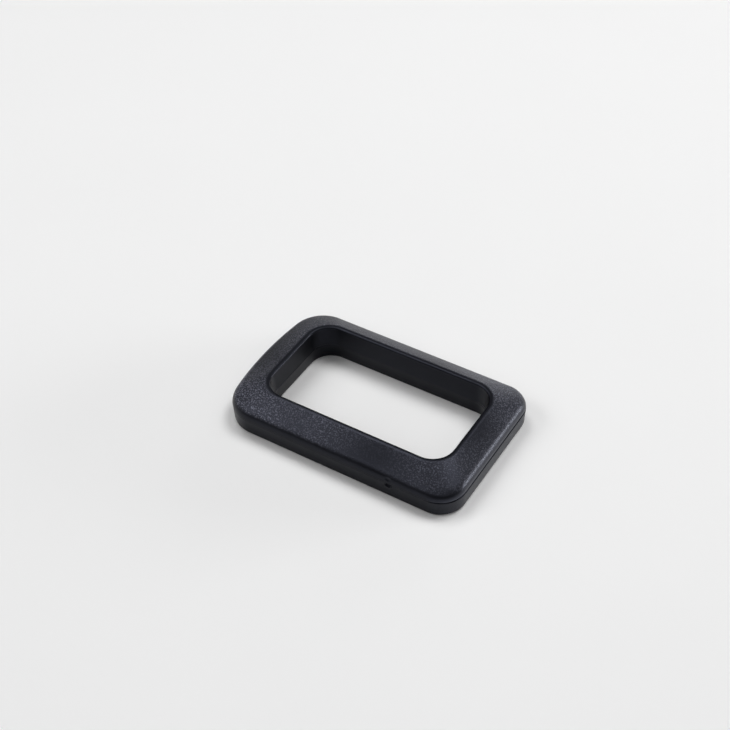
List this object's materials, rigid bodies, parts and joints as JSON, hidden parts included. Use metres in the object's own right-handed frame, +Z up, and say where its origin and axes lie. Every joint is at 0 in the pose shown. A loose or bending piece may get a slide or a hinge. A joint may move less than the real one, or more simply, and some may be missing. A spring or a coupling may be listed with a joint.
{
  "type": "rectangular strap ring",
  "caption": "Plain rectangular plastic ring that a webbing strap loops through, with a flat back, a raised rim round the opening and a sloping top.",
  "frame": {"origin": "middle of the flat underside, at the centre of the ring's outside", "axes": "+X along the ring's length, towards its straight end; +Y across it, towards the wall opposite the gate scar; +Z up out of the sloping top"},
  "size_m": [0.035, 0.0218, 0.0052],
  "materials": {
    "black_plastic": "black moulded plastic, fine spark-eroded grain on the sloping top, smooth satin walls"
  },
  "bodies": {
    "root": {"upper_half_frame": "black_plastic", "lower_half_frame": "black_plastic"}
  },
  "joints": []
}
